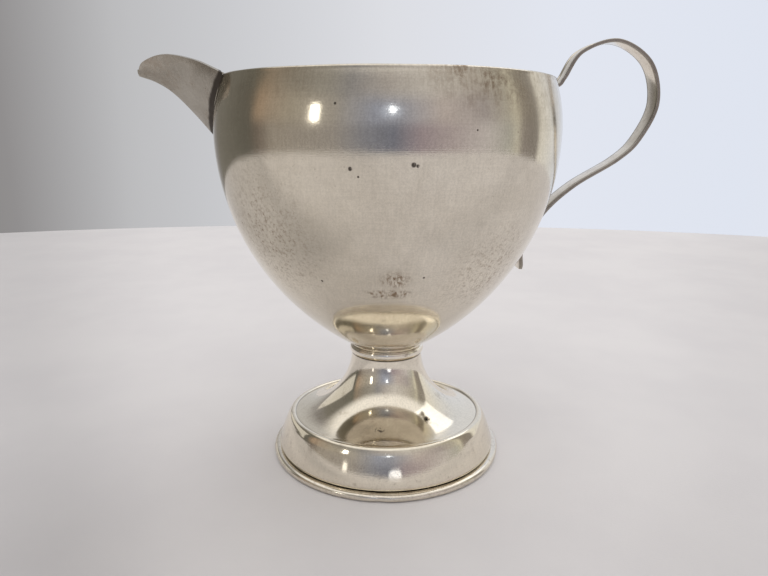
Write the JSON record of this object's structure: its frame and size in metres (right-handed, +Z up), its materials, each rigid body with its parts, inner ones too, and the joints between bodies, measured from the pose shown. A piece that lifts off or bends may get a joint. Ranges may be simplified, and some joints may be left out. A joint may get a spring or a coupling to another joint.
{
  "type": "cream jug",
  "caption": "Egg-shaped silver cream jug on a round pedestal foot, with a pointed pouring spout at the rim and a high looped strap handle opposite.",
  "frame": {"origin": "centre of the foot's flat underside, on the jug's upright axis", "axes": "+Z up through the bowl, +X towards the handle, -X towards the spout, symmetric about the plane Y = 0"},
  "size_m": [0.1278, 0.0844, 0.1073],
  "materials": {
    "bowl_silver": "worn soft-polished silver with warm tarnish and fine scratches",
    "spout_silver": "worn soft-polished silver, darker in the seam with the bowl",
    "handle_silver": "worn silver strap, tarnished between its raised borders",
    "collar_silver": "worn soft-polished silver with dark tarnish in the creases",
    "foot_silver": "worn soft-polished silver with dark tarnish in the mouldings",
    "base_ring_silver": "worn silver ring with small dents and a dark lower edge",
    "base_plate_silver": "dull satin closing plate",
    "weighting_cement": "dark matt filling"
  },
  "bodies": {
    "root": {"bowl": "bowl_silver", "spout": "spout_silver", "handle": "handle_silver", "collar": "collar_silver", "foot": "foot_silver", "base_ring": "base_ring_silver", "base_plate": "base_plate_silver", "weighting": "weighting_cement"}
  },
  "joints": []
}
